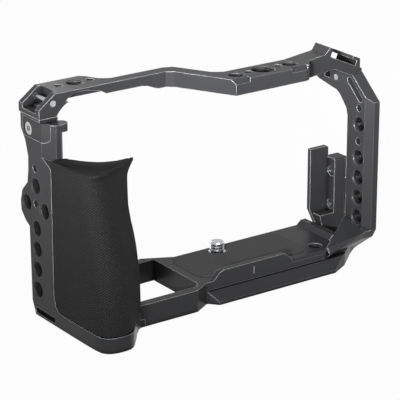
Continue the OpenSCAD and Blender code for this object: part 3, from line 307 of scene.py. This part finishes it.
def dot_field(tree):
    """Height of the rubber's dots, from 0 to 1: two sets of slanting waves, multiplied.

    The way round the grip is an angle times a mean radius, and z is the way up.
    """
    at = tree.add("ShaderNodeSeparateXYZ", {"Vector": tree.object_coordinates()}).outputs
    to_x = tree.calculate("SUBTRACT", at["X"], GRIP_MIDDLE[0])
    to_y = tree.calculate("SUBTRACT", at["Y"], GRIP_MIDDLE[1])
    around = tree.calculate("MULTIPLY", tree.calculate("ARCTAN2", to_x, to_y), GRIP_RADIUS)
    waves = []
    for slant in ("ADD", "SUBTRACT"):
        path = tree.calculate(slant, around, at["Z"])
        angle = tree.calculate("MULTIPLY", path, math.pi / DOT_PITCH)
        waves.append(tree.calculate("ABSOLUTE", tree.calculate("SINE", angle)))
    face = tree.add("ShaderNodeNewGeometry").outputs["True Normal"]
    lean = tree.add("ShaderNodeSeparateXYZ", {"Vector": face}).outputs["Z"]
    upright = tree.map_range(tree.calculate("ABSOLUTE", lean), DOT_SLOPE, (1, 0))
    return tree.calculate("MULTIPLY", tree.calculate("MULTIPLY", *waves), upright)


def dotted_rubber(name, color):
    """Soft rubber with a fine field of dots in staggered rows, painted lighter on their tops and
    darker between them as painted light and shade.
    """
    material, tree, shader = new_material(name, color, 0, RUBBER_ROUGHNESS)
    dots = dot_field(tree)
    clouds = tree.noise(RUBBER_SCALE, RUBBER_DETAIL)
    cloudy = tree.scale(color, tree.wander(clouds, 1, RUBBER_TINT))
    # Painted light on the dot tops and painted shade between them
    dotted_light_and_shade = tree.scale(cloudy, tree.calculate("ADD", dots, DOT_GROUND_SHADE))
    tree.put(shader.inputs["Base Color"], dotted_light_and_shade)
    tree.put(shader.inputs["Normal"], bump(tree, dots, DOT_BUMP, DOT_DEPTH))
    return material


def soft_pad(name, color):
    """Thin pad with a felt-like grain."""
    material, tree, shader = new_material(name, color, 0, PAD_ROUGHNESS)
    felt = tree.noise(PAD_SCALE, PAD_DETAIL)
    tree.put(shader.inputs["Base Color"], tree.scale(color, tree.wander(felt, 1, PAD_TINT)))
    tree.put(shader.inputs["Normal"], bump(tree, felt, PAD_BUMP, PAD_DEPTH))
    return material


# Edges: wear with a painted highlight on anodised metal and black steel, a painted shadow line
# on the satin parts, painted glints on thread crests; all get painted shade in hollows
anodised = metal(
    "anodised_black", ANODISED, metallic=0.2, roughness=0.3, grain=0.25,
    edge=0.42 * MM, edge_color=WORN_AND_HIGHLIT_EDGE,
)
dark_anodised = metal(
    "anodised_satin", DARK_ANODISED, metallic=0, roughness=0.4, grain=0.2,
    edge=0.3 * MM, edge_color=SHADOW_EDGE,
)
# Threads: painted shade in their dark colour and wide reach, and painted glints on their crests
thread_black = metal(
    "thread_in_painted_shade", THREAD_IN_PAINTED_SHADE, metallic=0, roughness=0.3, grain=0.1,
    edge=0.12 * MM, edge_color=THREAD_CREST_GLINT, reach=THREAD_REACH,
)
black_steel = metal(
    "black_steel", BLACK_STEEL, metallic=0.8, roughness=0.35, grain=0.15,
    edge=0.12 * MM, edge_color=WORN_AND_HIGHLIT_EDGE,
)
steel = metal(
    "plain_steel", STEEL, metallic=1, roughness=0.28, grain=0.1,
    edge=0.1 * MM, edge_color=STEEL, reach=STEEL_REACH,
)
screw_steel = turned_metal("turned_steel", STEEL, roughness=0.3)
rubber = dotted_rubber("dotted_rubber", RUBBER)
pad = soft_pad("seat_pad", PAD)

FINISHES = {
    anodised: ["base_plate", "right_arm", "top_bar", "left_plate", "port_bracket"],
    dark_anodised: ["grip_core", "lug_block"],
    black_steel: [
        "right_base_screws", "left_base_screw", "rail_screw", "foot_screws", "top_left_screws",
    ],
    steel: [
        "screw_clip", "strap_pin", "dowel_pin", "lug_screw", "bracket_screws", "slot_key",
        "magnets",
    ],
    screw_steel: ["camera_screw"],
    rubber: ["grip_sleeve"],
    pad: ["base_pad"],
}
for finish, names in FINISHES.items():
    for name in names:
        materials = NODES[name].data.materials
        materials.clear()
        materials.append(finish)

# Grip: the rubber skin as one smooth piece that stands for its CAD node

GRIP_VOXEL = 0.45 * MM
GRIP_RELAX = 0.5
GRIP_RELAX_ROUNDS = 12


def make_grip():
    """The CAD sleeve, remeshed and relaxed so that its loft shows no facets."""
    mesh = NODES["grip_sleeve"].data.copy()
    mesh.name = "grip_rubber"
    grip = add_object("grip_rubber", mesh)
    remesh = grip.modifiers.new("remesh", "REMESH")
    remesh.mode = "VOXEL"
    remesh.voxel_size = GRIP_VOXEL
    remesh.use_smooth_shade = True
    relax = grip.modifiers.new("relax", "SMOOTH")
    relax.factor = GRIP_RELAX
    relax.iterations = GRIP_RELAX_ROUNDS
    shaped = grip.evaluated_get(bpy.context.evaluated_depsgraph_get())
    grip.data = bpy.data.meshes.new_from_object(shaped)
    grip.modifiers.clear()
    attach(grip, "frame")
    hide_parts("grip_sleeve")


make_grip()

# Threads: a fine helix in each threaded hole

# A quarter inch thread has 20 turns to the inch, and a three eighths inch one has 16
QUARTER_PITCH = 1.27 * MM
THREE_EIGHTHS_PITCH = 1.5875 * MM
QUARTER_LARGEST_RADIUS = 4 * MM
STEPS_PER_TURN = 32

# Shares of the pitch, and how far the ridge's foot is sunk in the wall
RIDGE_DEPTH = 0.5
RIDGE_HALF_WIDTH = 0.42
RIDGE_SUNK = 0.02 * MM


def add_ridge(bm, place, radius, length, pitch):
    """A ridge of triangular section that winds along the hole, with its foot on the radius."""
    steps = int(length / pitch * STEPS_PER_TURN)
    foot = pitch * RIDGE_HALF_WIDTH
    crest = radius - pitch * RIDGE_DEPTH
    rows = []
    for step in range(steps + 1):
        angle = 2 * math.pi * step / STEPS_PER_TURN
        along = length * (step / steps - 0.5)
        section = [(radius, along - foot), (crest, along), (radius, along + foot)]
        rows.append([
            bm.verts.new(place @ Vector((r * math.cos(angle), r * math.sin(angle), z)))
            for r, z in section
        ])
    for low, high in zip(rows, rows[1:]):
        for k in range(3):
            after = (k + 1) % 3
            bm.faces.new((low[k], low[after], high[after], high[k]))
    bm.faces.new(rows[0][::-1])
    bm.faces.new(rows[-1])


def hole_place(mount):
    """The hole's middle, with +Z along its axis."""
    turn = Vector(mount["axis"]).to_track_quat("Z", "Y").to_matrix().to_4x4()
    return Matrix.Translation(Vector(mount["pos_m"])) @ turn


def make_threads():
    """One object with the threads of all threaded holes, each a pitch shorter than its hole."""
    bm = bmesh.new()
    for mount in frame["record"]["mounts"]:
        if mount["kind"] != "threaded_hole":
            continue
        radius = mount["dims"]["r_mm"] * MM
        pitch = QUARTER_PITCH if radius <= QUARTER_LARGEST_RADIUS else THREE_EIGHTHS_PITCH
        length = mount["dims"]["length_mm"] * MM - pitch
        add_ridge(bm, hole_place(mount), radius + RIDGE_SUNK, length, pitch)
    bmesh.ops.recalc_face_normals(bm, faces=bm.faces)
    mesh = bpy.data.meshes.new("hole_threads")
    bm.to_mesh(mesh)
    bm.free()
    mesh.materials.append(thread_black)
    threads = add_object("hole_threads", mesh)
    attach(threads, "frame")


make_threads()

# Stage: white floor, white surroundings, soft light

FLOOR_HALF_SIZE = 6.0
FLOOR_COLOR = (0.5, 0.5, 0.5)
FLOOR_ROUGHNESS = 0.9
FLOOR_GLOW = 0.96
WHITE_STRENGTH = 1.0
AMBIENT_COLOR = (0.9, 0.95, 1.0)
AMBIENT_STRENGTH = 0.05
WIDEST_SPREAD = 180


def is_background_ray(tree):
    """1 for camera, glossy and transmission rays, which see the plain white."""
    ray = tree.add("ShaderNodeLightPath").outputs
    seen = tree.calculate("ADD", ray["Is Camera Ray"], ray["Is Glossy Ray"], clamp=True)
    return tree.calculate("ADD", seen, ray["Is Transmission Ray"], clamp=True)


def make_floor():
    """A floor that shows as white, with a little of its own shading left for the shadow."""
    mesh = bpy.data.meshes.new("floor")
    half = FLOOR_HALF_SIZE
    corners = [(-half, -half, 0), (half, -half, 0), (half, half, 0), (-half, half, 0)]
    mesh.from_pydata(corners, [], [(0, 1, 2, 3)])
    material = bpy.data.materials.new("floor_white")
    tree = Tree(material)
    matte = tree.add("ShaderNodeBsdfPrincipled", {
        "Base Color": (*FLOOR_COLOR, 1),
        "Roughness": FLOOR_ROUGHNESS,
        "Specular IOR Level": SPECULAR_LEVEL,
    })
    glow = tree.add("ShaderNodeEmission", {"Strength": WHITE_STRENGTH})
    share = tree.calculate("MULTIPLY", is_background_ray(tree), FLOOR_GLOW)
    surface = tree.mix_shaders(share, matte.outputs["BSDF"], glow.outputs["Emission"])
    tree.add("ShaderNodeOutputMaterial", {"Surface": surface})
    mesh.materials.append(material)
    add_object("floor", mesh)


def make_world():
    """Plain white to look at, and a faint light from all sides."""
    world = bpy.data.worlds.new("studio")
    bpy.context.scene.world = world
    tree = Tree(world)
    ambient = tree.add("ShaderNodeBackground", {
        "Color": (*AMBIENT_COLOR, 1), "Strength": AMBIENT_STRENGTH,
    })
    white = tree.add("ShaderNodeBackground", {"Strength": WHITE_STRENGTH})
    surface = tree.mix_shaders(
        is_background_ray(tree), ambient.outputs["Background"], white.outputs["Background"],
    )
    tree.add("ShaderNodeOutputWorld", {"Surface": surface})


def soft_light(name, place, aim, size, watts, spread=WIDEST_SPREAD):
    """A rectangular lamp; spread is the angle of its beam in degrees."""
    data = bpy.data.lights.new(name, "AREA")
    data.shape = "RECTANGLE"
    data.size, data.size_y = size
    data.energy = watts
    data.spread = math.radians(spread)
    lamp = add_object(name, data)
    lamp.location = place
    point_along(lamp, Vector(aim) - Vector(place))


make_floor()
make_world()

# The main light falls on the tops and front faces from above
soft_light(
    "key_front_top",
    place=(-0.1, -0.6, 1.1), aim=(0, 0, 0.06), size=(0.4, 0.4), watts=11,
)
soft_light(
    "key_top",
    place=(-0.1, 0.35, 1.1), aim=(0, 0, 0.06), size=(0.5, 0.5), watts=0.5,
)
# A narrow beam, aimed above the cage, makes its front lighter towards the top
soft_light(
    "key_front_left",
    place=(-0.95, -0.8, 0.4), aim=(0.02, 0, 0.2), size=(0.2, 0.2), watts=1.9, spread=18,
)
# Weak lamps that keep the other sides readable
soft_light(
    "side_left",
    place=(-1.15, 0.2, 0.5), aim=(0, 0, 0.08), size=(0.4, 0.5), watts=1,
)
soft_light(
    "side_right",
    place=(1.2, 0.1, 0.3), aim=(0, 0, 0.05), size=(0.4, 0.4), watts=2,
)
soft_light(
    "back",
    place=(0.35, 1.2, 0.25), aim=(0, 0, 0.05), size=(0.5, 0.4), watts=3,
)

# Camera, as fitted to the photograph

AZIMUTH = math.radians(-35.32)
ELEVATION = math.radians(20.22)
CAMERA_PLACE = (-0.5046, -0.6993, 0.3505)
FOCAL_PX = 2132
FRAME_PX = 400
SENSOR_MM = 36
CLIP_START, CLIP_END = 0.05, 50


def make_camera():
    """A camera that sees the cage as the photograph shows it."""
    data = bpy.data.cameras.new("camera")
    data.sensor_width = SENSOR_MM
    data.lens = FOCAL_PX / FRAME_PX * SENSOR_MM
    data.clip_start, data.clip_end = CLIP_START, CLIP_END
    camera = add_object("camera", data)
    camera.location = CAMERA_PLACE
    to_camera = Vector((
        math.sin(AZIMUTH) * math.cos(ELEVATION),
        -math.cos(AZIMUTH) * math.cos(ELEVATION),
        math.sin(ELEVATION),
    ))
    point_along(camera, -to_camera)
    bpy.context.scene.camera = camera


make_camera()
bpy.context.scene.view_settings.view_transform = "Standard"
